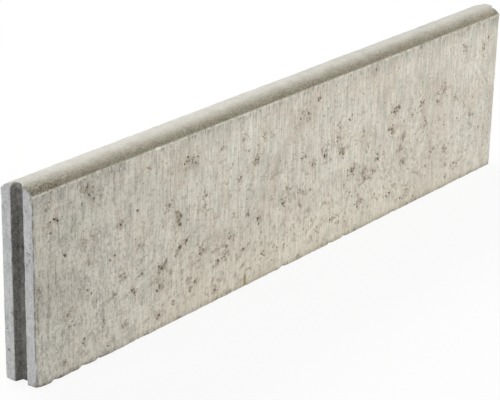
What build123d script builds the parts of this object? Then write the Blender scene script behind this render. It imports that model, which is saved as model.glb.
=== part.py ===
from build123d import *

import math
import os

# Concrete kerb stone for edging a lawn, cast in one piece. It stands on its long narrow foot.
# A low arch across the whole thickness makes the crown. A tapered groove runs up one end face,
# from foot to crown, and the tongue on the other end face fits the groove of the next stone.
# X runs along the row of stones, Y through the thickness and Z up. The origin is on the ground,
# at the middle of the foot. All sizes are in millimetres.

# Body of the stone. The laying length is from end face to end face, without the tongue.
laying_length = 1000.0
height = 250.0
thickness = 50.0

# Crown, an arch in proportion to the thickness: a flat arc at the top, which spans the angle given
# here in degrees, and a tighter arc from there down to each face.
crown_top_radius = 1.2 * thickness
crown_side_radius = 0.4 * thickness
crown_top_angle = 24.0

# Rounded edges of the body.
crown_edge_radius = 1.5
foot_edge_radius = 2.0
end_edge_radius = 2.0

# Groove in the end face at -X.
groove_mouth_width = 20.5
groove_floor_width = 14.5
groove_depth = 10.0
groove_lip_radius = 1.5
groove_floor_radius = 2.5

# Room that the tongue has in the groove, on each side and at its tip.
joint_side_clearance = 1.0
joint_tip_clearance = 1.5

# The tongue on the end face at +X follows the groove at that clearance.
groove_side_slope = (groove_mouth_width - groove_floor_width) / (2 * groove_depth)
tongue_projection = groove_depth - joint_tip_clearance
tongue_root_width = groove_mouth_width - 2 * joint_side_clearance
tongue_tip_width = tongue_root_width - 2 * groove_side_slope * tongue_projection
tongue_tip_radius = groove_floor_radius

half_length = laying_length / 2
half_thickness = thickness / 2

# The side arcs start where the top arc ends, in line with it, and turn on until they meet the faces.
crown_turn = math.radians(crown_top_angle / 2)
side_arc_centre = (crown_top_radius - crown_side_radius) * math.sin(crown_turn)
shoulder_turn = math.asin((half_thickness - side_arc_centre) / crown_side_radius)
side_arc_angle = math.degrees(shoulder_turn - crown_turn)

# Section across the stone, seen from its end.
with BuildSketch(Plane.YZ.offset(-half_length)) as section:
    with BuildLine():
        top_arc = CenterArc(
            (0, height - crown_top_radius),
            crown_top_radius,
            90 - crown_top_angle / 2,
            crown_top_angle,
        )
        front_arc = JernArc(top_arc @ 1, top_arc % 1, crown_side_radius, side_arc_angle)
        rear_arc = JernArc(top_arc @ 0, top_arc % 0 * -1, crown_side_radius, -side_arc_angle)
        Polyline(
            front_arc @ 1,
            (-half_thickness, 0),
            (half_thickness, 0),
            rear_arc @ 1,
        )
    make_face()
    fillet(section.vertices().group_by(Axis.Y)[1], crown_edge_radius)
    fillet(section.vertices().group_by(Axis.Y)[0], foot_edge_radius)

# Tongue, a prism as high as the stone, which the section trims to the crown. Its root is set back
# into the stone, behind the rounded edge of the end face.
with BuildPart() as tongue:
    with BuildSketch(Plane.XY) as tongue_plan:
        with BuildLine():
            Polyline(
                (half_length - end_edge_radius, -tongue_root_width / 2),
                (half_length, -tongue_root_width / 2),
                (half_length + tongue_projection, -tongue_tip_width / 2),
                (half_length + tongue_projection, tongue_tip_width / 2),
                (half_length, tongue_root_width / 2),
                (half_length - end_edge_radius, tongue_root_width / 2),
                close=True,
            )
        make_face()
        fillet(tongue_plan.vertices().group_by(Axis.X)[-1], tongue_tip_radius)
    extrude(amount=height)
    extrude(section.sketch, amount=laying_length + tongue_projection, mode=Mode.INTERSECT)

with BuildPart() as kerb_stone:
    # Long body with its rounded ends.
    extrude(section.sketch, amount=laying_length)
    fillet(kerb_stone.faces().filter_by(Axis.X).edges(), end_edge_radius)

    # Groove in the end face at -X.
    with BuildSketch(Plane.XY) as groove_plan:
        with BuildLine():
            Polyline(
                (-half_length, -groove_mouth_width / 2),
                (-half_length + groove_depth, -groove_floor_width / 2),
                (-half_length + groove_depth, groove_floor_width / 2),
                (-half_length, groove_mouth_width / 2),
                close=True,
            )
        make_face()
        fillet(groove_plan.vertices().group_by(Axis.X)[-1], groove_floor_radius)
    extrude(amount=height, mode=Mode.SUBTRACT)
    end_edges = kerb_stone.edges().filter_by(Axis.Z).group_by(Axis.X)[0]
    groove_lips = end_edges.filter_by_position(Axis.Y, -groove_mouth_width / 2, groove_mouth_width / 2)
    fillet(groove_lips, groove_lip_radius)

    # Tongue on the end face at +X.
    add(tongue.part)

kerb_stone.part.label = "kerb_stone"

os.makedirs("parts", exist_ok=True)
export_step(kerb_stone.part, "parts/kerb_stone.step")
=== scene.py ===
"""Concrete kerb stone for edging a lawn: its cast skin, its finish and the studio that shows it.

The stone is one closed skin. Six sheets, one for each face of a plain block, share the points of
their edges. The block is then rounded, crowned, grooved and tongued, and given its relief. Sizes
are in millimetres until the skin is made into a mesh. X runs along the row of stones, Y through
the thickness, away from the front face, and Z up.
"""

import logging
import math
from dataclasses import dataclass, field, replace
from enum import Enum
from typing import Iterable, Sequence, Union

import bpy
import numpy as np
from mathutils import Matrix, Vector
from mathutils.geometry import delaunay_2d_cdt


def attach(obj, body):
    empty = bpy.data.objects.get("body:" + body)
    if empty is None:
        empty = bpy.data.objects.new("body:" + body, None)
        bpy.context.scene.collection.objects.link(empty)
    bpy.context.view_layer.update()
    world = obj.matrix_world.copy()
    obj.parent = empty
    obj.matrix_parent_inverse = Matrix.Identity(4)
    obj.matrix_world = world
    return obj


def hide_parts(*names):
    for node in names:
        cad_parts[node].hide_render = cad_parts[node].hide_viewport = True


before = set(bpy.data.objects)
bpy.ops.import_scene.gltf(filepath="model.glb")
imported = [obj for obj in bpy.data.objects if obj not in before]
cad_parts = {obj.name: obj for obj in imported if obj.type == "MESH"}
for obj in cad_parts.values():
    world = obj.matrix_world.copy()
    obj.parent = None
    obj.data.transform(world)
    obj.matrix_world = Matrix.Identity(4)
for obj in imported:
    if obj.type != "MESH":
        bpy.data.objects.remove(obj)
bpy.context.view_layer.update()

LOG = logging.getLogger("kerb_stone")
MM = 0.001

# Noise in space: cells before it repeats, and the gain that brings it to about -1 to 1.
GRAIN_CELLS = 256
GRAIN_GAIN = 1.6
CUBE_CORNERS = np.array([(x, y, z) for x in (0, 1) for y in (0, 1) for z in (0, 1)])

# Rings of points round the middle of a pore: reach against its radius, depth against its own, and
# share of its colour. The last ring is the rim, turned half a step. A pore under the small radius
# has fewer points on each ring.
PORE_RINGS = ((0.5, 0.93, 1.0), (0.84, 0.6, 0.85), (1.03, 0.02, 0.25), (1.4, -0.03, 0.0))
SMALL_PORE = 1.3

# Room round a pore: for the next pore, against both radii, and for the grid, against its own.
PORE_GAP = 1.4
PORE_CLEARING = 1.75

# Grid lines on a face lie at least this far apart.
LINE_GAP = 0.3

Array = np.ndarray
Rgba = tuple[float, float, float, float]
Vec3 = tuple[float, float, float]
EVEN: Vec3 = (1.0, 1.0, 1.0)


def linear(red: float, green: float, blue: float) -> Rgba:
    """Turns a display colour into the linear one that shaders take.

    Args:
        red: red, from 0 to 255.
        green: green, from 0 to 255.
        blue: blue, from 0 to 255.

    Returns:
        The linear colour, opaque.
    """
    parts = [c / 255 for c in (red, green, blue)]
    parts = [c / 12.92 if c <= 0.04045 else ((c + 0.055) / 1.055) ** 2.4 for c in parts]
    return (parts[0], parts[1], parts[2], 1.0)


def ease(low: float, high: float, values: Array) -> Array:
    """Rises smoothly from 0 at low to 1 at high.

    Args:
        low: value where the rise starts.
        high: value where it ends. It may be below low, and then the curve falls.
        values: numbers to ease.

    Returns:
        The eased numbers, from 0 to 1.
    """
    share = np.clip((values - low) / (high - low), 0.0, 1.0)
    return share * share * (3 - 2 * share)


def soft_share(share: Array, softness: float) -> Array:
    """Limits numbers to the range from 0 to 1 with a rounded bend at both limits.

    Args:
        share: numbers to limit.
        softness: length of each bend.

    Returns:
        The limited numbers.
    """
    from_low = np.clip(0.5 + 0.5 * share / softness, 0.0, 1.0)
    risen = share * from_low + softness * from_low * (1 - from_low)
    from_high = np.clip(0.5 + 0.5 * (1 - risen) / softness, 0.0, 1.0)
    return risen * from_high + (1 - from_high) - softness * from_high * (1 - from_high)


def bell(offset: Array, width: float) -> Array:
    """Gives a soft bump, 1 at no offset and 0.37 at its half width."""
    return np.exp(-((offset / width) ** 2))


def bells(places: Array, marks: Sequence[tuple[float, float]]) -> Array:
    """Adds up soft bumps.

    Args:
        places: places along a line.
        marks: the middle and the half width of each bump.

    Returns:
        The height of the bumps at each place, from 0 to about 1.
    """
    total = np.zeros(len(places))
    for middle, width in marks:
        total += bell(places - middle, width)
    return total


class Grain:
    """Smooth seeded noise in space, about -1 to 1."""

    def __init__(self, seed: int) -> None:
        """Draws the slopes of the noise.

        Args:
            seed: number that fixes the pattern.
        """
        maker = np.random.default_rng(seed)
        order = maker.permutation(GRAIN_CELLS)
        self.order = np.concatenate([order, order])
        slopes = maker.normal(size=(GRAIN_CELLS, 3))
        self.slopes = slopes / np.linalg.norm(slopes, axis=1, keepdims=True)

    def at(self, points: Array, size: Union[float, Sequence[float]]) -> Array:
        """Reads the noise.

        Args:
            points: places, one row each.
            size: width of the noise's lumps, one number or one for each axis.

        Returns:
            One number for each place.
        """
        scaled = points / np.asarray(size, dtype=float)
        cell = np.floor(scaled).astype(int)
        inside = scaled - cell
        rise = inside**3 * (inside * (inside * 6 - 15) + 10)
        total = np.zeros(len(points))
        for corner in CUBE_CORNERS:
            spot = (cell + corner) % GRAIN_CELLS
            first = self.order[spot[:, 0]] + spot[:, 1]
            index = self.order[self.order[first] + spot[:, 2]]
            dots = np.einsum("ij,ij->i", self.slopes[index], inside - corner)
            total += dots * np.prod(np.where(corner == 1, rise, 1 - rise), axis=1)
        return total * GRAIN_GAIN


class Side(Enum):
    """Faces of the plain block: the fixed axis, its low or high end, and the two axes along the face."""

    FRONT = (1, 0, 0, 2)
    REAR = (1, 1, 2, 0)
    FOOT = (2, 0, 1, 0)
    CROWN = (2, 1, 0, 1)
    GROOVE_END = (0, 0, 2, 1)
    TONGUE_END = (0, 1, 1, 2)


@dataclass(frozen=True)
class Pore:
    """One open air hole in the cast face."""

    along: float
    across: float
    radius: float
    depth: float
    turn: float
    shade: float

    def rings(self) -> tuple[Array, Array, Array]:
        """Lays out the pore's points.

        Returns:
            The places on the face, how deep each lies, and how far each belongs to the pore.
        """
        count = 7 if self.radius < SMALL_PORE else 10
        places = [(self.along, self.across)]
        sunk = [self.depth]
        share = [self.shade]
        for ring, level, part in PORE_RINGS:
            half_step = 0.5 * (ring == PORE_RINGS[-1][0])
            for step in range(count):
                angle = 2 * math.pi * (step + half_step) / count
                lobes = 1 + 0.3 * math.sin(2 * angle + self.turn) + 0.2 * math.sin(3 * angle - 2 * self.turn)
                reach = self.radius * ring * (lobes + 0.12 * math.sin(5 * angle + 3 * self.turn))
                places.append((self.along + reach * math.cos(angle), self.across + reach * math.sin(angle)))
                sunk.append(self.depth * level)
                share.append(part * self.shade)
        return np.array(places), np.array(sunk), np.array(share)


@dataclass(frozen=True)
class PoreCluster:
    """A few pores close together, with crumbly stone between them."""

    along: float
    across: float
    spread: float
    count: int
    size: float


# Clusters that catch the eye on the front face. Each row gives the place along the
# stone from its middle, the height above the foot, and the cluster's spread, count and size.
FRONT_CLUSTERS = tuple(
    PoreCluster(*row)
    for row in (
        (-450, 154, 2.5, 3, 2.3), (-399, 209, 2.5, 2, 1.7), (-389, 211, 2.0, 2, 1.6),
        (-462, 203, 4.0, 4, 1.7), (-401, 162, 2.0, 2, 1.5), (-417, 161, 3.0, 3, 1.3),
        (-322, 171, 2.0, 2, 2.1), (-366, 125, 3.0, 3, 1.6), (-439, 216, 3.0, 2, 1.3),
        (-366, 73, 3.0, 2, 1.4), (-350, 30, 3.0, 3, 1.7), (-376, 13, 3.0, 2, 1.8), (-446, 77, 3.0, 3, 1.7),
        (-440, 62, 4.0, 4, 1.6), (-384, 46, 3.0, 2, 1.4), (-421, 35, 3.0, 2, 1.5), (-491, 124, 2.0, 2, 1.4),
        (-411, 95, 3.0, 2, 1.3), (-305, 219, 3.0, 3, 1.9), (-164, 210, 3.0, 3, 1.7),
        (-113, 189, 2.5, 2, 1.7), (-217, 206, 6.0, 4, 1.3), (-245, 136, 5.0, 5, 2.1),
        (-262, 160, 5.0, 4, 1.7), (-243, 97, 4.0, 5, 2.0), (-233, 103, 3.0, 3, 1.9),
        (-318, 123, 4.0, 4, 1.6), (-281, 80, 5.0, 4, 2.2), (-316, 88, 3.0, 3, 1.9), (-283, 60, 3.0, 3, 1.8),
        (-286, 20, 3.5, 4, 2.1), (-252, 89, 1.0, 1, 1.8), (-215, 41, 2.0, 2, 1.9), (-225, 33, 2.0, 2, 1.6),
        (-258, 29, 3.0, 2, 1.4), (-202, 79, 5.0, 4, 1.5), (-151, 68, 2.5, 3, 1.9), (-157, 57, 3.0, 3, 1.5),
        (-169, 56, 2.0, 2, 1.6), (-197, 158, 4.0, 3, 1.7), (-126, 155, 3.0, 2, 1.8),
        (-96, 171, 3.0, 2, 1.5), (-143, 82, 3.0, 3, 1.8), (-116, 55, 2.5, 3, 1.9), (-86, 87, 5.0, 5, 1.8),
        (-30, 95, 3.0, 3, 1.6), (-58, 138, 3.0, 2, 1.4), (-26, 33, 2.0, 2, 1.6), (-44, 32, 3.0, 2, 1.4),
        (6, 79, 2.5, 3, 1.8), (11, 147, 4.0, 5, 1.7), (9, 206, 5.0, 4, 1.5), (59, 143, 5.5, 8, 2.5),
        (100, 132, 5.0, 5, 2.2), (92, 171, 4.0, 3, 1.4), (63, 202, 1.0, 1, 1.9), (107, 78, 1.5, 2, 1.8),
        (121, 64, 1.0, 1, 1.6), (28, 97, 1.5, 2, 1.6), (34, 131, 3.0, 3, 1.4), (150, 147, 2.0, 2, 1.4),
        (189, 97, 4.5, 5, 2.0), (178, 78, 3.0, 3, 1.7), (158, 79, 6.0, 5, 1.5), (223, 130, 5.5, 7, 1.8),
        (236, 162, 3.0, 3, 1.8), (249, 135, 2.0, 2, 1.7), (272, 141, 2.0, 2, 1.8), (254, 74, 4.0, 4, 1.7),
        (218, 32, 2.5, 3, 2.1), (144, 40, 5.0, 5, 1.7), (169, 31, 2.0, 2, 1.8), (96, 28, 2.0, 2, 1.7),
        (80, 38, 3.0, 2, 1.4), (46, 32, 3.0, 2, 1.5), (294, 150, 6.0, 7, 1.9), (338, 140, 4.0, 3, 1.7),
        (307, 124, 3.0, 3, 1.6), (331, 72, 4.0, 4, 1.6), (365, 65, 5.0, 4, 1.5), (392, 31, 1.5, 2, 1.9),
        (313, 50, 1.5, 1, 1.5), (402, 95, 1.0, 1, 2.0), (390, 139, 4.0, 3, 1.4), (458, 72, 1.0, 1, 1.6),
        (479, 115, 1.0, 1, 1.5), (462, 142, 1.0, 1, 1.3), (426, 44, 1.0, 1, 1.3),
    )
)

# Clusters on the grooved end: height above the foot, and distance from the front face.
CHEEK_CLUSTERS = (
    PoreCluster(166, 8, 2.2, 5, 1.25),
    PoreCluster(159, 6, 1.6, 3, 1.15),
    PoreCluster(64, 45, 1.2, 2, 1.3),
    PoreCluster(40, 44, 1.5, 2, 1.2),
)

# A pale flake on the front crease below the crown, and chips out of the foot's front edge: along the
# stone from its middle, and half width.
CREASE_FLAKES = ((-286, 5.5),)
FOOT_CHIPS = ((-468, 5.0), (-420, 6.0), (-392, 4.0), (-28, 5.0), (80, 4.0), (113, 4.0))


@dataclass
class PoreField:
    """The pores of one face of the block."""

    width: float
    height: float
    seed: int
    clusters: tuple[PoreCluster, ...] = ()
    stray_clusters: int = 0
    loners: int = 0
    edge_room: float = 4.0
    stray_margin: float = 8.0
    cluster_shape: tuple[float, float] = (0.75, 0.7)
    pores: list[Pore] = field(default_factory=list)

    def make(self) -> None:
        """Places all the pores, none of them touching, from the face's low corner."""
        maker = np.random.default_rng(self.seed)
        found = list(self.clusters)
        margin = self.stray_margin
        for _ in range(self.stray_clusters):
            spot = (maker.uniform(margin, self.width - margin), maker.uniform(margin, self.height - margin))
            spread, count = maker.uniform(2, 6), int(maker.integers(2, 5))
            found.append(PoreCluster(*spot, spread, count, maker.uniform(1.1, 1.9)))
        for cluster in found:
            for _ in range(cluster.count):
                shift = maker.normal(size=2) * cluster.spread * self.cluster_shape
                radius = cluster.size * maker.uniform(0.7, 1.2)
                self.add(maker, cluster.along + shift[0], cluster.across + shift[1], radius)
        for _ in range(self.loners):
            spot = (maker.uniform(0, self.width), maker.uniform(0, self.height))
            self.add(maker, *spot, 0.75 + 0.7 * maker.random() ** 3)
        self.clusters = tuple(found)

    def add(self, maker: np.random.Generator, along: float, across: float, radius: float) -> None:
        """Adds a pore where there is room for it.

        Args:
            maker: source of random numbers.
            along: place along the face.
            across: place across the face.
            radius: radius of the mouth.
        """
        depth = radius * maker.uniform(0.55, 1.1)
        turn = maker.uniform(0, 2 * math.pi)
        shade = maker.uniform(0.55, 1.0)
        room = self.edge_room + 1.5 * radius
        if not (room < along < self.width - room and room < across < self.height - room):
            return
        for other in self.pores:
            if math.hypot(other.along - along, other.across - across) < PORE_GAP * (other.radius + radius):
                return
        self.pores.append(Pore(along, across, radius, depth, turn, shade))


@dataclass
class KerbStone:
    """The cast stone: its section, its two ends, and the relief of its faces."""

    # Section and rounded edges.
    length: float = 1000.0
    height: float = 250.0
    thickness: float = 50.0
    crown_top_radius: float = 60.0
    crown_side_radius: float = 20.0
    crown_top_angle: float = 24.0
    shoulder_radius: float = 1.0
    foot_radius: float = 2.2
    end_radius: float = 1.9
    # Groove and tongue, and how far into the stone they draw its points along.
    groove_mouth: float = 20.5
    groove_floor: float = 14.5
    groove_depth: float = 10.0
    tongue_root: float = 18.5
    tongue_tip: float = 13.4
    tongue_reach: float = 8.5
    joint_run: float = 40.0
    # Wear, added to the rounding of an edge.
    corner_wear: float = 5.5
    corner_reach: float = 11.0
    foot_chip: float = 4.5
    lip_top_wear: float = 7.0
    lip_foot_wear: float = 3.0
    cheek_top_wear: float = 3.4
    # Relief.
    crease_rag: float = 0.45
    crease_peak: float = 1.9
    flake_lift: float = 0.9
    wave_height: float = 0.22
    lump_height: float = 0.07
    grit_height: float = 0.035
    # Spacing of the points: in from each edge, then even, and the random shift on the large faces.
    edge_steps: tuple[float, ...] = (0.5, 1.0, 1.6, 2.4, 3.6, 5.2, 7.4)
    fine_step: float = 2.5
    face_step: float = 5.0
    face_shift: float = 0.25

    def __post_init__(self) -> None:
        """Works out the block and the noise that shapes it."""
        self.crown_turn = math.radians(self.crown_top_angle / 2)
        self.side_centre = (self.crown_top_radius - self.crown_side_radius) * math.sin(self.crown_turn)
        self.shoulder = self.height + float(self.crown_drop(np.array([self.thickness / 2]))[0])
        self.low = np.array([-self.length / 2, -self.thickness / 2, 0.0])
        self.high = np.array([self.length / 2, self.thickness / 2, self.shoulder])
        self.waves, self.lumps, self.grit, self.chips, self.burr = (Grain(seed) for seed in range(11, 16))

    def stations(self, axis: int, step: float, extra: Iterable[float] = ()) -> Array:
        """Lists the places of grid lines along one axis, closer together near its ends.

        Args:
            axis: 0, 1 or 2.
            step: distance between lines away from the ends.
            extra: more lines.

        Returns:
            The places, rising, no two of them too close.
        """
        low, high = self.low[axis], self.high[axis]
        near = [low, *(low + s for s in self.edge_steps)]
        far = [high, *(high - s for s in self.edge_steps)]
        count = max(2, round((far[-1] - near[-1]) / step) + 1)
        middle = np.linspace(near[-1], far[-1], count)
        kept = list(extra)
        for place in (*near, *far, *middle):
            if all(abs(place - k) > LINE_GAP for k in kept):
                kept.append(place)
        return np.array(sorted(kept))

    def joint_lines(self, mouth: float, floor: float) -> list[float]:
        """Lists the lines across the stone that a groove or tongue needs.

        Args:
            mouth: its width at the end face.
            floor: its width at the floor or tip.

        Returns:
            The places, on both sides of the middle.
        """
        lines = [floor / 2 - gap for gap in (2.2, 1.2, 0.5)]
        lines += list(np.linspace(floor / 2, mouth / 2, 6))
        lines += [mouth / 2 + gap for gap in (0.5, 1.1, 2.0)]
        return [side * line for line in lines for side in (-1, 1)]

    def lattice(self, side: Side) -> Array:
        """Lays out the plain points of one face, without its pores.

        Args:
            side: the face.

        Returns:
            Places on the face, along its first and second axis.
        """
        along = self.stations(0, self.fine_step)
        up = self.stations(2, self.fine_step)
        joints = ((self.groove_mouth, self.groove_floor), (self.tongue_root, self.tongue_tip))
        groove_lines, tongue_lines = (
            self.stations(1, self.fine_step, self.joint_lines(*widths)) for widths in joints
        )
        if side is Side.GROOVE_END:
            return np.array([(z, y) for z in up for y in groove_lines])
        if side is Side.TONGUE_END:
            return np.array([(y, z) for y in tongue_lines for z in up])
        if side in (Side.CROWN, Side.FOOT):
            middle_lines = self.stations(1, self.fine_step if side is Side.CROWN else self.face_step)
            places = []
            for x in along:
                if x < self.low[0] + self.joint_run:
                    lines = groove_lines
                elif x > self.high[0] - self.joint_run:
                    lines = tongue_lines
                else:
                    lines = middle_lines
                places += [(x, y) for y in lines]
            flat = np.array(places)
            return flat if side is Side.CROWN else flat[:, ::-1]
        maker = np.random.default_rng(21 if side is Side.FRONT else 22)
        places = []
        for step, drop in enumerate((0.0, *self.edge_steps)):
            thin = 1 if step < 5 else 2
            for z in (self.low[2] + drop, self.high[2] - drop):
                places += [(x, z) for x in along[::thin]] + [(along[-1], z)]
            for x in (self.low[0] + drop, self.high[0] - drop):
                places += [(x, z) for z in up[::thin]] + [(x, up[-1])]
        margin = self.edge_steps[-1] + 1.8
        for x in np.arange(self.low[0] + margin, self.high[0] - margin, self.face_step):
            for z in np.arange(self.low[2] + margin, self.high[2] - margin, self.face_step):
                shift = maker.uniform(-self.face_shift, self.face_shift, 2) * self.face_step
                places.append((x + shift[0] + 0.5, z + shift[1] + 0.5))
        flat = np.array(places)
        return flat if side is Side.FRONT else flat[:, ::-1]

    def sheet(self, side: Side, pores: list[Pore]) -> tuple[Array, Array]:
        """Makes the triangles of one face of the plain block.

        Args:
            side: the face.
            pores: its pores, in places along its first and second axis.

        Returns:
            Points on the block with their pore depth and pore share in two more columns, and the
            triangles.
        """
        fixed, end, first, second = side.value
        flat = np.unique(np.round(self.lattice(side), 4), axis=0)
        sunk = np.zeros(len(flat))
        share = np.zeros(len(flat))
        if pores:
            centres = np.array([(p.along, p.across) for p in pores])
            reach = np.array([p.radius for p in pores]) * PORE_CLEARING
            free = np.ones(len(flat), bool)
            for centre, clear in zip(centres, reach):
                free &= np.linalg.norm(flat - centre, axis=1) > clear
            laid = [p.rings() for p in pores]
            flat = np.concatenate([flat[free], *(r[0] for r in laid)])
            sunk = np.concatenate([sunk[free], *(r[1] for r in laid)])
            share = np.concatenate([share[free], *(r[2] for r in laid)])
        made = delaunay_2d_cdt([Vector(p) for p in flat.tolist()], [], [], 0, 1e-5)
        source = [ids[0] for ids in made[3]]
        triangles = np.array(made[2])
        points = np.zeros((len(source), 5))
        points[:, first] = flat[source, 0]
        points[:, second] = flat[source, 1]
        points[:, fixed] = (self.low, self.high)[end][fixed]
        points[:, 3] = sunk[source]
        points[:, 4] = share[source]
        return points, triangles

    def rounded(self, block: Array) -> tuple[Array, Array]:
        """Rounds the edges of the block by a varying radius.

        Args:
            block: points on the plain block.

        Returns:
            The moved points and the way that each faces.
        """
        height = block[:, 2]
        radius = np.full(len(block), self.end_radius)
        near_top = ease(self.shoulder - 14, self.shoulder - 4, height)
        near_foot = ease(16, 5, height)
        radius += (self.shoulder_radius - self.end_radius) * near_top
        radius += (self.foot_radius - self.end_radius) * near_foot
        # Uneven, chipped edges, most of all at the foot, with the worn near corner.
        uneven = self.chips.at(block, 14) + 0.6 * self.chips.at(block + 91, 5)
        radius *= 1 + (0.22 + 0.3 * near_foot) * uneven
        chipped = np.clip(self.chips.at(block + 300, 9) - 0.52, 0, 1) * (2.5 + 5.5 * near_foot)
        radius += chipped * (1 - 0.8 * near_top)
        corner = np.linalg.norm(block - (self.low[0], self.low[1], 0.0), axis=1)
        radius += self.corner_wear * bell(corner, self.corner_reach)
        radius += self.foot_chip * bells(block[:, 0], FOOT_CHIPS) * near_foot * (block[:, 1] < 0)
        # The grooved end, worn at the top of its rear lip and front cheek and at the foot of its front lip.
        near_end = ease(self.low[0] + 12, self.low[0] + 8, block[:, 0])
        lip = self.groove_mouth / 2
        front_cheek = ease(-self.groove_floor / 2, -lip - 1, block[:, 1]) * ease(25.5, 22, -block[:, 1])
        worn_top = self.lip_top_wear * bell(block[:, 1] - lip - 1, 4) + self.cheek_top_wear * front_cheek
        radius += near_end * ease(self.shoulder - 12, self.shoulder - 9, height) * worn_top
        radius += near_end * near_foot * self.lip_foot_wear * bell(block[:, 1] + lip + 2, 3.5)
        radius = np.clip(radius, 0.4, 8.5)[:, None]
        core = np.clip(block, self.low + radius, self.high - radius)
        outward = block - core
        outward /= np.linalg.norm(outward, axis=1, keepdims=True)
        return core + radius * outward, outward

    def crown_drop(self, across: Array) -> Array:
        """Gives the height of the crown's arch against its top, zero or less.

        Args:
            across: places across the stone, from its middle.

        Returns:
            The heights.
        """
        width = np.abs(across)
        top = np.sqrt(np.clip(self.crown_top_radius**2 - width**2, 0, None)) - self.crown_top_radius
        beyond = np.clip(self.crown_side_radius**2 - (width - self.side_centre) ** 2, 0, None)
        reach = (self.crown_top_radius - self.crown_side_radius) * math.cos(self.crown_turn)
        side = np.sqrt(beyond) + reach - self.crown_top_radius
        return np.where(width < self.crown_top_radius * math.sin(self.crown_turn), top, side)

    def shape(self, block: Array) -> dict[str, Array]:
        """Turns the plain block into the cast stone.

        Args:
            block: points on the block, with pore depth and pore share.

        Returns:
            The shaped points under the name "points", and the masks that the finish reads.
        """
        plain = block[:, :3]
        points, outward = self.rounded(plain)
        top = np.clip(outward[:, 2], 0, 1)
        bottom = np.clip(-outward[:, 2], 0, 1)
        ends = np.abs(outward[:, 0])
        side = np.abs(outward[:, 1])
        side_room = self.thickness / 2 - np.abs(plain[:, 1])
        below_top = self.shoulder - plain[:, 2]
        crest = bell(below_top, 1.3) * bell(side_room, 0.8)

        # The arch of the crown, and the way it faces.
        slope = (self.crown_drop(plain[:, 1] - 0.5) - self.crown_drop(plain[:, 1] + 0.5)) * top
        outward[:, 1] += slope
        outward /= np.linalg.norm(outward, axis=1, keepdims=True)
        arch = np.clip(self.crown_drop(points[:, 1]) + self.height - self.shoulder, 0, None)
        points[:, 2] += arch * np.clip(points[:, 2] / self.shoulder, 0, 1)

        # The crease under the crown, with its wandering line, its ragged burr and its flake.
        line = np.column_stack([plain[:, 0], np.sign(plain[:, 1]) * 50, np.zeros(len(plain))])
        wander = 0.55 * self.burr.at(line, 60) + 0.4 * self.burr.at(line + 17, 11)
        wander += 0.22 * self.burr.at(line + 23, 4.5)
        points[:, 2] += wander * bell(below_top, 7) * bell(side_room, 9)
        ragged = np.clip(self.burr.at(line + 53, 7) + 0.5 * self.burr.at(line + 71, 3.2) + 0.1, 0, 1)
        peaks = np.clip(self.burr.at(line + 119, 15) - 0.35, 0, 1)
        flakes = bells(plain[:, 0], CREASE_FLAKES) * (plain[:, 1] < 0)
        lift = crest * (self.crease_rag * ragged + self.crease_peak * peaks + self.flake_lift * flakes)
        valley = top * bell(side_room - 3.2, 1.8)
        points += outward * (lift - 0.22 * valley)[:, None]

        # Relief of the faces: waves, lumps and upright grit, and a rougher crown and foot.
        rough = self.grit.at(plain, 7) + 0.5 * self.grit.at(plain + 37.7, 3.5)
        relief = self.wave_height * self.waves.at(plain, 130) + self.lump_height * self.lumps.at(plain, 22)
        relief += self.grit_height * self.grit.at(plain, (4.5, 4.5, 38.0)) * (1 - top)
        relief += top * (0.2 * rough + 0.22 * self.lumps.at(plain + 40, 17))
        relief -= bottom * np.abs(0.3 * self.lumps.at(plain + 80, 19) + 0.2 * rough)
        points += outward * (relief - block[:, 3])[:, None]

        masks = self.join(plain, points, ends)
        masks["crown"] = top**2
        masks["foot"] = bottom**2
        masks["end"] = ends**2
        masks["pore"] = block[:, 4]
        masks["arris"] = np.clip(4 * ends**2 * side**2, 0, 1)
        masks["crest"] = np.clip(crest * (0.35 + ragged + peaks + flakes), 0, 1)
        masks["flake"] = np.clip(flakes, 0, 1) * bell(below_top, 2.2) * bell(side_room, 1.2)
        points[:, 2] = np.clip(points[:, 2], 0, None)
        masks["points"] = points
        return masks

    def join(self, plain: Array, points: Array, ends: Array) -> dict[str, Array]:
        """Sinks the groove into one end and raises the tongue on the other.

        Args:
            plain: points on the plain block.
            points: the same points on the stone, which are moved.
            ends: how far each point faces an end.

        Returns:
            The masks "groove" and "wall".
        """
        sides = np.sign(plain[:, 1]) * 9
        line = np.column_stack([np.zeros(len(plain)), sides, plain[:, 2]])
        ragged = 0.32 * self.chips.at(line + 5, 11) + 0.3 * self.chips.at(line + 29, 4)
        ragged += 1.1 * np.clip(self.chips.at(line + 61, 13) - 0.5, 0, 1)
        width = np.abs(plain[:, 1])
        lip, floor = self.groove_mouth / 2, self.groove_floor / 2
        near_lip = bell(width - lip, 2.2)
        sunk = soft_share((lip + ragged * near_lip - width) / (lip - floor), 0.1)
        run = np.clip((self.low[0] + self.joint_run - plain[:, 0]) / self.joint_run, 0, 1)
        filled = 1 - 0.68 * np.clip((plain[:, 1] + lip) / 9, 0, 1)
        sunk = sunk * (1 - filled * ease(self.shoulder - 10, self.shoulder - 1, plain[:, 2]))
        streak = 0.16 * self.grit.at(plain + 7, (3.0, 2.6, 45.0)) + 0.12 * self.lumps.at(plain + 3, 9)
        points[:, 0] += sunk * run * (self.groove_depth + streak)
        root, tip = self.tongue_root / 2, self.tongue_tip / 2
        raised = soft_share((root + 0.4 * ragged * near_lip - width) / (root - tip), 0.25)
        back = np.clip((plain[:, 0] - self.high[0] + self.joint_run) / self.joint_run, 0, 1)
        worn = 0.12 * ease(self.shoulder - 16, self.shoulder, plain[:, 2]) * ease(5, -6, plain[:, 1])
        points[:, 0] += raised * back * (self.tongue_reach + streak) * (1 - worn)
        # The rear wall of the groove, which gets a lighter colour as painted light in its shadow.
        wall = np.clip(6 * sunk * (1 - sunk), 0, 1) * (plain[:, 1] > 0)
        shade = ease(0.02, 0.16, sunk) * run**2 * ends
        return {"groove": shade, "wall": wall}

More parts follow.
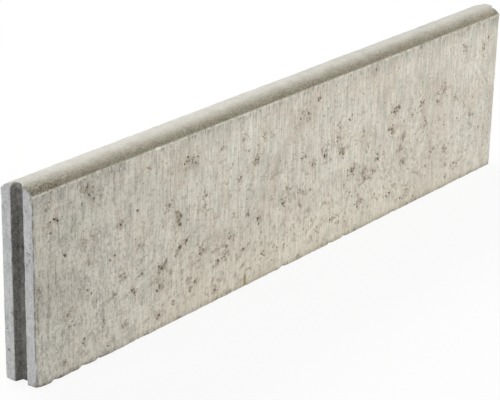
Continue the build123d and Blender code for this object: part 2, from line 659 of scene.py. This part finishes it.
    def crumble(self, plain: Array, fields: dict[Side, PoreField]) -> Array:
        """Marks the crumbly stone round the clusters of pores.

        Args:
            plain: points on the plain block.
            fields: the pores of each face.

        Returns:
            One share for each point, from 0 to 1.
        """
        total = np.zeros(len(plain))
        for side, pores in fields.items():
            fixed, end, first, second = side.value
            on_face = np.abs(plain[:, fixed] - (self.low, self.high)[end][fixed]) < 0.01
            for cluster in pores.clusters:
                gap_along = plain[on_face, first] - self.low[first] - cluster.along
                gap_across = plain[on_face, second] - self.low[second] - cluster.across
                reach = 3.0 + 1.3 * cluster.spread
                strength = min(1.0, 0.25 + 0.17 * cluster.count)
                total[on_face] += strength * bell(np.hypot(gap_along, gap_across), reach)
        return np.clip(total, 0, 1)

    def pore_fields(self) -> dict[Side, PoreField]:
        """Gives every face its pores.

        Returns:
            One field for each face that has pores, with places from the face's low corner.
        """
        # Size along the face's two axes, seed, listed clusters, number of stray clusters and
        # of lone pores, and room at the edge.
        half = self.length / 2
        front = tuple(replace(c, along=c.along + half) for c in FRONT_CLUSTERS)
        fields = {
            Side.FRONT: PoreField(self.length, self.shoulder, 31, front, 48, 150),
            Side.REAR: PoreField(self.shoulder, self.length, 32, (), 85, 230),
            Side.CROWN: PoreField(self.length, self.thickness, 33, (), 0, 12),
            Side.GROOVE_END: PoreField(self.shoulder, self.thickness, 34, CHEEK_CLUSTERS, 0, 30, 2.2),
            Side.TONGUE_END: PoreField(self.thickness, self.shoulder, 35, (), 2, 40, 2.5),
            Side.FOOT: PoreField(self.thickness, self.length, 36, (), 20, 60),
        }
        for pores in fields.values():
            pores.make()
        return fields

    def clear_of_joints(self, side: Side, pore: Pore) -> bool:
        """Says whether a pore lies away from the groove, the tongue and the grid that serves them.

        Args:
            side: the pore's face.
            pore: the pore, placed from the face's low corner.

        Returns:
            True where the pore may stay.
        """
        _, _, first, second = side.value
        place = dict(zip((first, second), (pore.along, pore.across)))
        across = abs(place.get(1, 0.0) - self.thickness / 2)
        if side in (Side.GROOVE_END, Side.TONGUE_END):
            return across - pore.radius > self.groove_mouth / 2 + 1.5
        if side in (Side.CROWN, Side.FOOT):
            return self.joint_run < place[0] < self.length - self.joint_run
        return True

    def build(self) -> bpy.types.Object:
        """Makes the stone's skin.

        Returns:
            The new object, in metres.
        """
        fields = self.pore_fields()
        points, triangles = [], []
        start = 0
        for side in Side:
            _, _, first, second = side.value
            pores = [
                replace(p, along=p.along + self.low[first], across=p.across + self.low[second])
                for p in fields[side].pores
                if self.clear_of_joints(side, p)
            ]
            sheet_points, sheet_triangles = self.sheet(side, pores)
            points.append(sheet_points)
            triangles.append(sheet_triangles + start)
            start += len(sheet_points)
            LOG.info("%s: %d points, %d pores", side.name.lower(), len(sheet_points), len(pores))
        # Points that lie in one place on two or three sheets become one.
        every = np.concatenate(points)
        faces = np.concatenate(triangles)
        keys = np.round(every[:, :3], 3)
        _, keep, where = np.unique(keys, axis=0, return_index=True, return_inverse=True)
        every = every[keep]
        faces = where.reshape(-1)[faces]
        whole = (faces[:, 0] != faces[:, 1]) & (faces[:, 1] != faces[:, 2]) & (faces[:, 0] != faces[:, 2])
        faces = faces[whole]
        masks = self.shape(every)
        masks["crumble"] = self.crumble(every[:, :3], fields)
        return self.mesh(masks, faces)

    def mesh(self, masks: dict[str, Array], faces: Array) -> bpy.types.Object:
        """Writes the skin and its masks into a new object.

        Args:
            masks: the points, in millimetres, and the masks.
            faces: the triangles.

        Returns:
            The object, linked to the scene.
        """
        skin = bpy.data.meshes.new("cast_stone")
        skin.from_pydata((masks.pop("points") * MM).tolist(), [], faces.tolist())
        skin.validate()
        skin.polygons.foreach_set("use_smooth", [True] * len(skin.polygons))
        for name, values in masks.items():
            layer = skin.attributes.new(name, "FLOAT", "POINT")
            layer.data.foreach_set("value", values.astype(np.float32))
        skin.update()
        stone = bpy.data.objects.new("cast_stone", skin)
        bpy.context.collection.objects.link(stone)
        LOG.info("stone: %d points, %d triangles", len(skin.vertices), len(skin.polygons))
        return stone


@dataclass(frozen=True, eq=False)
class Signal:
    """A shader socket that Python's operators extend with Math nodes."""

    book: "NodeBook"
    socket: bpy.types.NodeSocket

    def __add__(self, other: "Number") -> "Signal":
        """Adds."""
        return self.book.maths("ADD", self, other)

    def __sub__(self, other: "Number") -> "Signal":
        """Subtracts."""
        return self.book.maths("SUBTRACT", self, other)

    def __rsub__(self, other: "Number") -> "Signal":
        """Subtracts from a number."""
        return self.book.maths("SUBTRACT", other, self)

    def __mul__(self, other: "Number") -> "Signal":
        """Multiplies."""
        return self.book.maths("MULTIPLY", self, other)

    def __truediv__(self, other: "Number") -> "Signal":
        """Divides."""
        return self.book.maths("DIVIDE", self, other)

    def __pow__(self, other: "Number") -> "Signal":
        """Raises to a power."""
        return self.book.maths("POWER", self, other)

    __radd__ = __add__
    __rmul__ = __mul__

    def rise(self, low: float, high: float) -> "Signal":
        """Rises smoothly from 0 at low to 1 at high.

        Args:
            low: where the rise starts.
            high: where it ends. It may be below low, and then the value falls.

        Returns:
            The eased value.
        """
        settings = {"interpolation_type": "SMOOTHSTEP", "clamp": True}
        return self.book.node("ShaderNodeMapRange", settings, {0: self, 1: low, 2: high})


Number = Union[Signal, float]
Colour = Union[Signal, Rgba]


class NodeBook:
    """Adds nodes to one node tree."""

    def __init__(self, tree: bpy.types.NodeTree) -> None:
        """Empties the tree.

        Args:
            tree: the tree to fill.
        """
        self.tree = tree
        tree.nodes.clear()

    def node(self, kind: str, settings: dict, inputs: dict, outlet: int = 0) -> Signal:
        """Adds one node.

        Args:
            kind: Blender's name for the node's type.
            settings: what is set before the sockets.
            inputs: values or links for the sockets, by name or number.
            outlet: number of the output that is wanted.

        Returns:
            That output.
        """
        made = self.tree.nodes.new(kind)
        for name, value in settings.items():
            setattr(made, name, value)
        for name, value in inputs.items():
            if isinstance(value, Signal):
                self.tree.links.new(value.socket, made.inputs[name])
            else:
                made.inputs[name].default_value = value
        return Signal(self, made.outputs[outlet] if made.outputs else None)

    def maths(self, operation: str, *values: Number) -> Signal:
        """Adds a Math node for values that change over the surface."""
        return self.node("ShaderNodeMath", {"operation": operation}, dict(enumerate(values)))

    def mask(self, name: str) -> Signal:
        """Reads one of the skin's masks."""
        return self.node("ShaderNodeAttribute", {"attribute_name": name}, {}, 2)

    def object_place(self) -> Signal:
        """Reads the place on the object, in metres."""
        return self.node("ShaderNodeTexCoord", {}, {}, 3)

    def noise(
        self,
        place: Signal,
        size: float,
        detail: float = 2.0,
        rough: float = 0.5,
        squeeze: Vec3 = EVEN,
        outlet: int = 0,
    ) -> Signal:
        """Adds cloudy noise.

        Args:
            place: vector, in millimetres.
            size: width of its lumps, in millimetres.
            detail: number of finer layers.
            rough: strength of the finer layers.
            squeeze: how much narrower the lumps are along each axis. Under 1 they are drawn out.
            outlet: 0 for the value, 1 for the colour.

        Returns:
            The noise, about 0.5 in the middle.
        """
        where = place if squeeze == EVEN else self.vector("MULTIPLY", place, squeeze)
        inputs = {"Vector": where, "Scale": 1 / size, "Detail": detail, "Roughness": rough}
        return self.node("ShaderNodeTexNoise", {"normalize": True}, inputs, outlet)

    def vector(self, operation: str, place: Signal, other: Union[Signal, Vec3]) -> Signal:
        """Adds a Vector Math node."""
        return self.node("ShaderNodeVectorMath", {"operation": operation}, {0: place, 1: other})

    def blend(self, share: Number, below: Colour, above: Colour, mode: str = "MIX") -> Signal:
        """Blends two colours.

        Args:
            share: how much of the upper colour shows, from 0 to 1.
            below: the lower colour.
            above: the upper colour.
            mode: Blender's name for the way of blending.

        Returns:
            The colour.
        """
        settings = {"data_type": "RGBA", "blend_type": mode, "clamp_factor": True}
        return self.node("ShaderNodeMix", settings, {0: share, 6: below, 7: above}, 2)

    def toned(self, colour: Colour, tone: Signal) -> Signal:
        """Makes a colour lighter or darker."""
        return self.blend(1.0, colour, tone, "MULTIPLY")

    def layered(self, colour: Colour, *layers: tuple[Number, Colour]) -> Colour:
        """Lays colours over one another.

        Args:
            colour: the lowest colour.
            layers: how much of each next colour shows, and that colour.

        Returns:
            The colour that shows.
        """
        for share, above in layers:
            colour = self.blend(share, colour, above)
        return colour


class StonePatterns:
    """What the parts of the finish share: the place on the stone, its regions and its noise patterns."""

    def __init__(self, book: NodeBook) -> None:
        """Adds the shared nodes.

        Args:
            book: the nodes of the material.
        """
        self.book = book
        place = book.vector("MULTIPLY", book.object_place(), (1 / MM, 1 / MM, 1 / MM))
        axes = [book.node("ShaderNodeSeparateXYZ", {}, {0: place}, axis) for axis in range(3)]
        self.place = place
        self.along, self.depth, self.height = axes
        self.crumble = book.mask("crumble")

        drift = book.vector("MULTIPLY", book.noise(place, 90.0, 1.0, 0.5, outlet=1), (3.0, 3.0, 0.0))
        self.wavy = book.vector("ADD", place, drift)
        self.streaks = book.noise(place, 2.2, 2.0, 0.75, (1.0, 1.0, 0.065))
        self.lines = book.noise(place, 1.8, 1.0, 0.5, (1.0, 1.0, 0.018))
        self.broad = book.noise(self.wavy, 20.0, 3.0, 0.7, (1.0, 1.0, 0.6))
        self.mottle = book.noise(self.wavy, 5.0, 3.0, 0.95, (1.1, 1.0, 0.78))
        self.smear = book.noise(self.wavy, 8.5, 3.0, 0.75, (0.85, 1.0, 1.0))
        self.patches = book.noise(place, 38.0, 3.0, 0.6)
        self.sand = book.noise(place, 1.6, 2.0, 0.7)
        self.crown_tone = book.noise(place, 3.4, 3.0, 0.75)
        self.crown_patch = book.noise(place, 21.0, 3.0, 0.6)

        self.clear = self.height.rise(70, 190)
        self.low = self.height.rise(150, 25)
        self.inward = self.along.rise(-420, -230)
        self.calm = 1.0 - self.height.rise(42, 12) * self.inward * 0.6
        spots = self.smear + self.crumble * 0.15 + self.inward * (0.03 - self.clear * 0.035)
        self.smudges = (spots + self.low * 0.014).rise(0.6, 0.715)
        crumbs = book.noise(self.wavy, 3.0, 1.5, 0.6, (0.9, 1.0, 0.85))
        speck_edge = 0.685 - self.crumble * 0.1 - self.smudges * 0.05 - self.inward * 0.02
        self.specks = (crumbs - speck_edge).rise(0.0, 0.09)


@dataclass(frozen=True)
class CastConcrete:
    """Pale beige-grey cast concrete: streaked and pored faces, a sandy crown, cool ends and a dark groove."""

    face: Rgba = linear(197, 194, 183)
    face_light: Rgba = linear(213, 211, 200)
    face_warm: Rgba = linear(203, 192, 173)
    face_dark: Rgba = linear(172, 168, 155)
    smudge: Rgba = linear(147, 140, 126)
    pink: Rgba = linear(186, 167, 152)
    green: Rgba = linear(170, 174, 160)
    olive: Rgba = linear(160, 150, 116)
    rust: Rgba = linear(142, 124, 72)
    pore: Rgba = linear(84, 75, 62)
    speck: Rgba = linear(104, 96, 82)
    # Painted highlight: a lighter crown colour for its top and rear side, where the light falls.
    crown_top_painted_light: Rgba = linear(209, 207, 199)
    crown: Rgba = linear(199, 195, 183)
    # Dirt and painted shade on the crown down to both creases, in two shades mixed in patches.
    crown_dirt_and_shade: Rgba = linear(134, 124, 104)
    crown_moss_and_shade: Rgba = linear(124, 122, 98)
    # Dark colour for the dirt and painted shade along the upright arrises, and for dark smudges on the ends.
    arris: Rgba = linear(112, 109, 98)
    fresh: Rgba = linear(236, 233, 222)
    end: Rgba = linear(191, 191, 191)
    end_shade: Rgba = linear(168, 169, 173)
    groove: Rgba = linear(106, 105, 103)
    # Painted light: the groove's rear wall is lighter than its floor, though it lies in shade.
    groove_wall_painted_light: Rgba = linear(134, 132, 128)
    # Foot colour: soil and painted shade on the faces that look down.
    foot: Rgba = linear(160, 152, 136)
    brightest: float = 0.17

    def face_tint(self, on: StonePatterns) -> Colour:
        """Mixes the tints of the flat faces.

        Args:
            on: the shared patterns.

        Returns:
            The colour, without its lights and darks.
        """
        book, along, height, inward = on.book, on.along, on.height, on.inward
        clouds = book.noise(on.place, 130.0, 3.0, 0.55)
        green_spots = book.noise(on.place, 52.0, 3.0, 0.6).rise(0.54, 0.72)
        low_band = height.rise(14, 1) * along.rise(-330, -80)
        foot_stain = book.maths("ABSOLUTE", along + 112.0).rise(4.5, 1.0) * height.rise(24, 12)
        return book.layered(
            self.face,
            (clouds.rise(0.38, 0.62) * 0.5, self.face_light),
            (inward * (0.05 + on.low * 0.2) * along.rise(500, 300), self.face_warm),
            (green_spots * (0.3 + inward * 0.15), self.green),
            (on.patches.rise(0.5, 0.68) * (0.1 + inward * 0.16) + on.crumble * 0.25, self.pink),
            (low_band * 0.28, self.olive),
            (foot_stain * 0.8, self.rust),
        )

    def face_tone(self, on: StonePatterns) -> Signal:
        """Adds up the lights and darks of the flat faces: their grain first, then painted light and shade
        that drift along them and down to the foot.

        Args:
            on: the shared patterns.

        Returns:
            The change in brightness, 0 for none.
        """
        along, height, inward = on.along, on.height, on.inward
        left_end = along.rise(-380, -480)
        streaking = 0.85 + on.clear * 0.2 + inward * 0.05 - along.rise(100, 450) * 0.3
        mottling = 1.9 - inward * 1.0 - on.clear * 0.35
        tone = (on.streaks - 0.5) * streaking + (on.lines - 0.5) * (0.1 + on.clear * 0.25)
        tone = tone + (on.broad - 0.5) * (1.0 - inward * 0.6) + (on.mottle - 0.5) * on.calm * mottling
        tone = tone + (on.sand - 0.5) * (0.7 - inward * 0.4)
        tone = on.book.maths("MINIMUM", tone, self.brightest)

        # Painted light and shade from here on: darker at the left end and towards the right end.
        tone = tone + inward * 0.06 - along.rise(-430, -500) * 0.09
        tone = tone - along.rise(0, 450) * 0.09 - along.rise(430, 510) * 0.1
        # Painted shade just under the crest, and painted light low down.
        under_crest = 0.07 + along.rise(0, 300) * 0.1 + left_end * 0.12
        tone = tone - height.rise(214, 234) * under_crest + height.rise(65, 20) * 0.05
        # Painted shade at the top of the right end.
        tone = tone - along.rise(420, 500) * height.rise(195, 225) * 0.1
        # Painted shade at the left end about the middle of the height.
        height_off_middle = on.book.maths("ABSOLUTE", height - 100.0)
        tone = tone - height_off_middle.rise(45, 10) * along.rise(-400, -490) * 0.13
        # Painted light low in the middle of the face.
        tone = tone + inward * height.rise(120, 30) * along.rise(250, -50) * 0.12
        # Painted shade along the foot, where the rounded edge faces down.
        foot_shade = 0.1 + on.broad * 0.45 + left_end * 0.25
        return tone - height.rise(9, 0) * foot_shade * (1.0 - inward * 0.35)

    def face_colour(self, on: StonePatterns) -> Colour:
        """Colours the flat faces, with their smudges, flecks and specks.

        Args:
            on: the shared patterns.

        Returns:
            The colour.
        """
        book = on.book
        halo = (on.smear + on.crumble * 0.1).rise(0.5, 0.64) * (0.6 + on.inward * 0.4)
        fleck = book.noise(on.wavy, 4.2, 2.0, 0.7, (0.85, 1.0, 0.95))
        flecks = (fleck + on.crumble * 0.06 + (on.smear - 0.5) * 0.4).rise(0.6, 0.72)
        nicks = book.noise(on.place, 3.8, 2.0, 0.7, (1.0, 1.0, 0.22)).rise(0.53, 0.64)
        # Soil and painted shade in patches along the foot.
        foot_soil_and_shade_marks = book.noise(on.place, 8.0, 3.0, 0.7, (1.0, 1.0, 0.6)).rise(0.53, 0.63)
        return book.layered(
            book.toned(self.face_tint(on), 1.0 + self.face_tone(on)),
            (halo * 0.3, self.pink),
            (on.smudges * on.calm * 0.5, self.smudge),
            (flecks * on.calm * (0.4 + on.inward * 0.18), self.smudge),
            (on.specks * on.calm * 0.62, self.speck),
            (nicks * on.height.rise(228, 238) * 0.5, self.speck),
            (foot_soil_and_shade_marks * on.height.rise(10, 3) * 0.55, self.speck),
        )

    def crown_colour(self, on: StonePatterns) -> Colour:
        """Colours the crown: a painted highlight on its top and rear side, and dirt and painted shade down to
        both creases.

        Args:
            on: the shared patterns.

        Returns:
            The colour.
        """
        book, along, depth = on.book, on.along, on.depth
        # The crown darkens towards both creases and at its left end, with dirt and painted shade.
        left = along.rise(-420, -490)
        side = book.maths("MAXIMUM", depth * -1.0, (depth - 15.0) * 2.5)
        reach = side + (on.crown_patch - 0.5) * 8.0 + (on.crown_tone - 0.5) * 10.0 + left
        crease_dirt_and_shade = book.maths("MINIMUM", book.maths("MAXIMUM", reach / 24.0 - 0.01, 0.0), 1.0) ** 1.4
        crease_dirt_and_shade = crease_dirt_and_shade * (1.0 - on.height.rise(242.8, 240.6) * 0.7)
        grains = (on.crown_tone - 0.5) * (0.45 + crease_dirt_and_shade * 1.9) + (on.sand - 0.5) * (0.3 + crease_dirt_and_shade * 1.7)
        grains = 1.0 + grains * (1.0 + left * 0.5) - left * crease_dirt_and_shade * 0.16
        grains = grains - 0.02 - along.rise(-250, 300) * 0.1 - left * 0.03
        colour = book.layered(
            self.crown_top_painted_light,
            # The painted highlight of the top and rear side fades to the plain crown colour towards the front
            # crease.
            (depth.rise(2, -15), self.crown),
            (on.crown_patch.rise(0.35, 0.75) * 0.3, self.face_dark),
            (crease_dirt_and_shade * 0.91, book.blend(on.patches.rise(0.42, 0.58), self.crown_dirt_and_shade, self.crown_moss_and_shade)),
        )
        return book.toned(colour, grains)

    def end_colour(self, on: StonePatterns) -> Colour:
        """Colours the ends: cool grey cheeks and a dark groove, whose rear wall is lighter as painted light.

        Args:
            on: the shared patterns.

        Returns:
            The colour.
        """
        book = on.book
        inner_tone = (on.mottle - 0.5) * 1.9 + (on.broad - 0.5) * 1.2 + (on.sand - 0.5) * 0.8
        inner_tone = 1.0 + inner_tone + on.height.rise(70, 10) * 0.12
        # Painted light on the rear wall of the groove.
        inner = book.toned(book.blend(book.mask("wall"), self.groove, self.groove_wall_painted_light), inner_tone)
        colour = book.layered(
            self.end,
            (on.broad.rise(0.42, 0.62) * 0.4, self.end_shade),
            (book.mask("groove").rise(0.25, 0.6), inner),
            ((on.smear + on.crumble * 0.12).rise(0.6, 0.7) * 0.5, self.arris),
        )
        tone = 1.0 + (on.streaks - 0.5) * 0.5 + (on.mottle - 0.5) * 0.9 + (on.sand - 0.5) * 0.8
        return book.toned(colour, tone)

    def material(self) -> bpy.types.Material:
        """Builds the concrete.

        Returns:
            The material.
        """
        made = bpy.data.materials.new("cast_concrete")
        made.use_nodes = True
        book = NodeBook(made.node_tree)
        on = StonePatterns(book)
        crown, crest, pore = (book.mask(name) for name in ("crown", "crest", "pore"))
        # A dark broken line along the upright arrises: dirt and painted shade.
        worn = book.noise(on.place, 6.0, 2.0, 0.7, (1.0, 1.0, 0.4)).rise(0.34, 0.56)
        arris_dirt_and_shade = book.mask("arris").rise(0.1, 0.6) * worn
        pale = (crest + (book.noise(on.place, 7.0, 2.0, 0.7) - 0.5) * 1.4).rise(0.3, 0.6)
        pale = pale * crest.rise(0.02, 0.15) * (0.85 - on.along.rise(250, 430) * 0.55)
        inside = (pore + (on.sand - 0.5) * 0.5).rise(0.3, 0.9)
        colour = book.layered(
            self.face_colour(on),
            (book.mask("end"), self.end_colour(on)),
            (arris_dirt_and_shade * (0.8 - on.height.rise(80, 20) * 0.4), self.arris),
            (crown, self.crown_colour(on)),
            # The faces that look down take the darker foot colour: soil and painted shade.
            (book.mask("foot"), book.blend(on.patches, self.foot, self.face_dark)),
            (pale, self.face_light),
            (book.mask("flake").rise(0.25, 0.6) * 0.9, self.fresh),
            (inside * 0.8, self.pore),
        )
        bumps = on.streaks * 0.1 + on.sand * 0.12 + on.mottle * 0.5 - on.specks * 0.5
        bumps = bumps * (1.0 - crown * 0.4) + crown * (on.crown_tone * 0.9 + on.crown_patch * 0.8)
        normal = book.node("ShaderNodeBump", {}, {"Strength": 1.0, "Distance": MM, "Height": bumps})
        roughness = 0.84 + (on.sand - 0.5) * 0.16 + pore * 0.06
        shader = book.node(
            "ShaderNodeBsdfPrincipled",
            {},
            {"Base Color": colour, "Roughness": roughness, "Normal": normal, "Specular IOR Level": 0.3},
        )
        book.node("ShaderNodeOutputMaterial", {}, {"Surface": shader})
        return made


@dataclass(frozen=True)
class Lamp:
    """One soft lamp: where it stands, in metres, what it faces, its size and its strength."""

    name: str
    place: Vec3
    target: Vec3
    size: tuple[float, float]
    watts: float
    colour: Vec3

    def make(self) -> None:
        """Sets up the lamp."""
        light = bpy.data.lights.new(self.name, "AREA")
        light.shape = "RECTANGLE"
        light.size, light.size_y = self.size
        light.energy = self.watts
        light.color = self.colour
        lamp = bpy.data.objects.new(self.name, light)
        bpy.context.collection.objects.link(lamp)
        lamp.location = self.place
        aim = Vector(self.target) - Vector(self.place)
        lamp.rotation_euler = aim.to_track_quat("-Z", "Y").to_euler()


@dataclass
class Studio:
    """A pale floor, soft light and the camera."""

    floor_size: float = 30.0
    floor_drop: float = 0.0003
    lens: float = 134.528
    yaw: float = 52.2826
    pitch: float = 21.5492
    roll: float = -1.2771
    camera_place: Vec3 = (-1.87911, -1.39786, 1.00622)
    world_strength: float = 0.33
    lamps: tuple[Lamp, ...] = (
        Lamp("front_soft", (1.5, -1.9, 0.9), (0.1, 0.0, 0.1), (1.6, 1.2), 41.0, (1.0, 0.985, 0.97)),
        Lamp("top_rear_soft", (0.2, 1.7, 1.9), (0.0, 0.0, 0.2), (2.4, 1.0), 55.0, (1.0, 1.0, 0.98)),
        Lamp("end_soft", (-2.6, 0.3, 0.9), (-0.5, 0.0, 0.12), (0.9, 0.9), 18.0, (0.98, 0.985, 1.0)),
    )

    def camera(self) -> None:
        """Puts the camera at the photograph's viewpoint."""
        yaw, pitch, roll = (math.radians(a) for a in (self.yaw, self.pitch, self.roll))
        forward = Vector((math.sin(yaw) * math.cos(pitch), math.cos(yaw) * math.cos(pitch), -math.sin(pitch)))
        right = Vector((math.cos(yaw), -math.sin(yaw), 0.0))
        down = forward.cross(right)
        turned_right = math.cos(roll) * right + math.sin(roll) * down
        turned_down = -math.sin(roll) * right + math.cos(roll) * down
        turn = Matrix((turned_right, -turned_down, -forward)).transposed()
        lens = bpy.data.cameras.new("camera")
        lens.lens = self.lens
        lens.sensor_width = 36.0
        lens.clip_end = 60.0
        made = bpy.data.objects.new("camera", lens)
        bpy.context.collection.objects.link(made)
        made.matrix_world = Matrix.Translation(self.camera_place) @ turn.to_4x4()
        bpy.context.scene.camera = made

    def floor(self) -> None:
        """Lays the pale floor, which keeps the stone's shadow."""
        half = self.floor_size / 2
        corners = [(x * half, y * half, -self.floor_drop) for x, y in ((-1, -1), (1, -1), (1, 1), (-1, 1))]
        sheet = bpy.data.meshes.new("floor")
        sheet.from_pydata(corners, [], [(0, 1, 2, 3)])
        made = bpy.data.objects.new("floor", sheet)
        bpy.context.collection.objects.link(made)
        paper = bpy.data.materials.new("floor_paper")
        paper.use_nodes = True
        book = NodeBook(paper.node_tree)
        seen = self.seen_ray(book)
        far = book.node("ShaderNodeVectorMath", {"operation": "LENGTH"}, {0: book.object_place()}, 1)
        white = seen * (0.9 + far.rise(0.6, 1.2) * 0.1)
        matt = book.node("ShaderNodeBsdfDiffuse", {}, {"Color": (0.8, 0.8, 0.79, 1.0)})
        glow = book.node("ShaderNodeEmission", {}, {"Color": (1.0, 1.0, 1.0, 1.0), "Strength": 1.0})
        surface = book.node("ShaderNodeMixShader", {}, {0: white, 1: matt, 2: glow})
        book.node("ShaderNodeOutputMaterial", {}, {"Surface": surface})
        sheet.materials.append(paper)

    def seen_ray(self, book: NodeBook) -> Signal:
        """Tells rays that show the background from rays that light the stone.

        Args:
            book: the tree's nodes.

        Returns:
            1 for camera, glossy and transmission rays, 0 for others.
        """
        rays = [book.node("ShaderNodeLightPath", {}, {}, outlet) for outlet in (0, 3, 6)]
        return book.maths("MAXIMUM", book.maths("MAXIMUM", rays[0], rays[1]), rays[2])

    def world(self) -> None:
        """Lights the scene softly from all sides, and shows white behind it."""
        made = bpy.data.worlds.new("studio")
        made.use_nodes = True
        bpy.context.scene.world = made
        book = NodeBook(made.node_tree)
        strength = self.seen_ray(book) * (1 - self.world_strength) + self.world_strength
        sky = book.node("ShaderNodeBackground", {}, {"Color": (1.0, 1.0, 1.0, 1.0), "Strength": strength})
        book.node("ShaderNodeOutputWorld", {}, {"Surface": sky})

    def build(self) -> None:
        """Sets up floor, world, lamps, camera and view."""
        self.floor()
        self.world()
        for lamp in self.lamps:
            lamp.make()
        self.camera()
        bpy.context.scene.view_settings.view_transform = "Standard"


def main() -> None:
    """Builds the stone and the studio."""
    logging.basicConfig(level=logging.INFO, format="%(name)s: %(message)s")
    stone = KerbStone().build()
    stone.data.materials.append(CastConcrete().material())
    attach(stone, "root")
    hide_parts("kerb_stone")
    Studio().build()
    LOG.info("studio: floor, world, lamps and camera")


if __name__ == "__main__":
    main()
